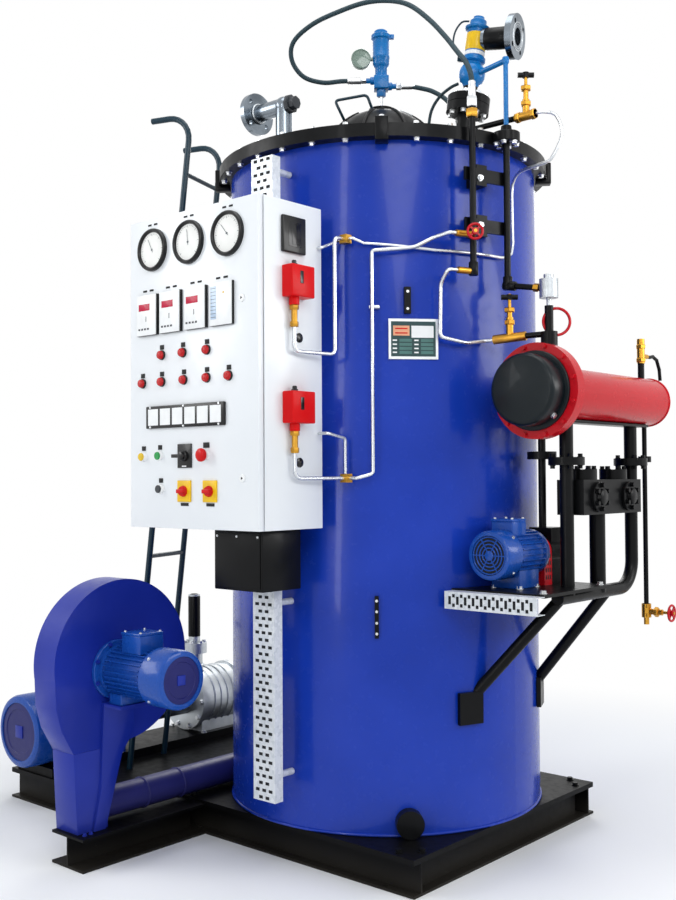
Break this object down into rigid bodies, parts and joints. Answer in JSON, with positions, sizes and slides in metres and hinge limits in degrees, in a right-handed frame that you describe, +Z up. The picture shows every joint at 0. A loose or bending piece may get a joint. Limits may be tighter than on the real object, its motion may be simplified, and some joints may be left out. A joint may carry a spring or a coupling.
{
  "type": "industrial boiler",
  "caption": "Vertical coil steam boiler on a steel skid, with a round blue casing, control panel, combustion fan, feed pump, oil heater, safety valve and access ladder.",
  "frame": {"origin": "floor level under the axis of the round casing, centre of the four anchor holes", "axes": "+Z up, -Y out of the control panel's front, +X towards the oil heater"},
  "size_m": [2.083, 1.7312, 2.764],
  "materials": {
    "skid_black": "satin black paint",
    "casing_blue": "gloss deep blue paint",
    "machine_blue": "gloss blue enamel",
    "pipe_black": "black paint",
    "hose_black": "braided rubber",
    "brass": "bright brass",
    "red_paint": "red enamel",
    "tube_silver": "drawn steel tube",
    "plate_silver": "brushed plate",
    "panel_white": "white powder coat",
    "instrument": "moulded instruments",
    "switch_red": "red moulding",
    "galvanised": "galvanised sheet",
    "cast_silver": "silver painted casting"
  },
  "bodies": {
    "boiler": {"boiler_skid": "skid_black", "side_skid": "skid_black", "deck_plates": "skid_black", "shell": "casing_blue", "body_flange": "pipe_black", "top_cover": "pipe_black", "rim_clamps": "pipe_black", "burner_dome": "pipe_black", "dome_handle": "pipe_black", "burner_unit": "machine_blue", "burner_dial": "plate_silver", "oil_hose": "hose_black", "return_hose": "hose_black", "valve_hose": "hose_black", "steam_outlet": "cast_silver", "valve_nozzle": "pipe_black", "safety_valve": "machine_blue", "valve_outlet": "cast_silver", "oil_pipes": "pipe_black", "shell_brackets": "pipe_black", "brass_valves": "brass", "impulse_tubes": "tube_silver", "nameplate": "plate_silver", "shell_fittings": "pipe_black", "panel_box": "panel_white", "side_recorder": "instrument", "pressure_switches": "switch_red", "junction_box": "pipe_black", "cable_trays": "galvanised", "ladder_rails": "pipe_black", "ladder_rungs": "pipe_black", "fan_casing": "machine_blue", "fan_stand": "machine_blue", "fan_motor": "machine_blue", "air_duct": "machine_blue", "feed_motor": "machine_blue", "feed_pump": "cast_silver", "pump_base": "pipe_black", "heater_vessel": "red_paint", "heater_cap": "pipe_black", "heater_posts": "pipe_black", "frame_rail": "pipe_black", "frame_braces": "pipe_black", "oil_platform": "pipe_black", "oil_motor": "machine_blue", "coupling_guard": "red_paint", "oil_pump": "pipe_black", "oil_lines": "pipe_black", "inlet_head": "cast_silver"},
    "door": {"panel_door": "panel_white", "panel_gauges": "instrument", "panel_controllers": "instrument", "panel_buttons": "instrument"},
    "top_valve_handle_body": {"top_valve_handle": "pipe_black"},
    "front_valve_handle_body": {"front_valve_handle": "pipe_black"},
    "stop_valve_wheel_body": {"stop_valve_wheel": "red_paint"},
    "drain_valve_wheel_body": {"drain_valve_wheel": "red_paint"}
  },
  "joints": [
    {"name": "panel_door_hinge", "type": "hinge", "parent": "boiler", "child": "door", "pos_m": [-0.374, -0.7925, 1.5], "axis": [0, 0, -1], "range_deg": [0, 110]},
    {"name": "top_valve_turn", "type": "hinge", "parent": "boiler", "child": "top_valve_handle_body", "pos_m": [0.634, -0.078, 2.412], "axis": [0, 0, 1], "range_deg": [0, 720]},
    {"name": "front_valve_turn", "type": "hinge", "parent": "boiler", "child": "front_valve_handle_body", "pos_m": [0.598, -0.1255, 1.725], "axis": [0, 0, 1], "range_deg": [0, 720]},
    {"name": "stop_valve_turn", "type": "hinge", "parent": "boiler", "child": "stop_valve_wheel_body", "pos_m": [0.57426, -0.27073, 1.908], "axis": [0.6691, -0.7431, 0], "range_deg": [0, 720]},
    {"name": "drain_valve_turn", "type": "hinge", "parent": "boiler", "child": "drain_valve_wheel_body", "pos_m": [0.806, 0.53, 0.718], "axis": [1, 0, 0], "range_deg": [0, 720]}
  ]
}
